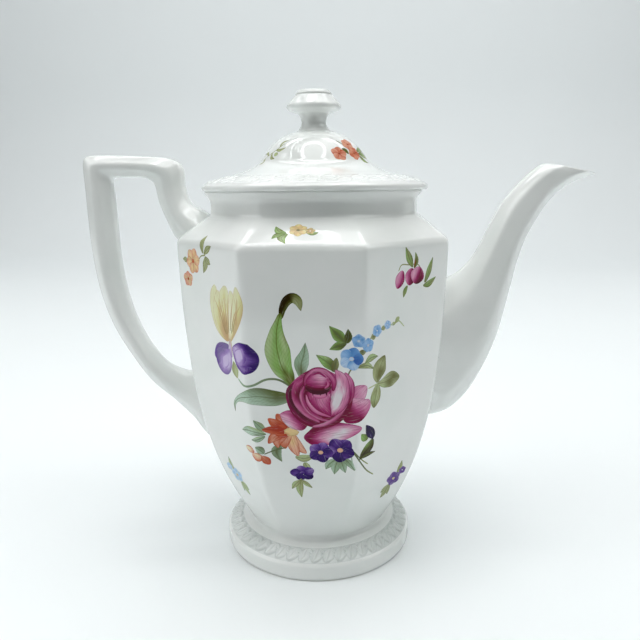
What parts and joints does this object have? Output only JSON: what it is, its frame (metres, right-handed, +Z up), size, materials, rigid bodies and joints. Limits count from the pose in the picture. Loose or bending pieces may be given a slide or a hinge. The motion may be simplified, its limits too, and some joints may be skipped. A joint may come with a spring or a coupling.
{
  "type": "teapot",
  "caption": "Tall eight-sided porcelain pot on a round foot, with a high panelled spout, a faceted loop handle and a lift-off domed lid with a mushroom knob.",
  "frame": {"origin": "on the pot's axis, in the plane that the foot stands on", "axes": "+Z up along the pot's axis, +X towards the spout, -X towards the handle, +-Y through the two broad faces between them"},
  "size_m": [0.2477, 0.1256, 0.2289],
  "materials": {
    "pot_glaze": "gloss",
    "lid_glaze": "gloss",
    "relief_glaze": "gloss"
  },
  "bodies": {
    "pot": {"body": "pot_glaze", "neck": "pot_glaze", "foot": "pot_glaze", "foot_border": "relief_glaze", "spout": "pot_glaze", "handle": "pot_glaze"},
    "lid": {"lid_cover": "lid_glaze", "lid_border": "relief_glaze", "lid_flange": "lid_glaze", "lid_knob": "lid_glaze"}
  },
  "joints": [
    {"name": "lid_lift", "type": "slide", "parent": "pot", "child": "lid", "axis": [0, 0, 1], "range_m": [0, 0.06]}
  ]
}
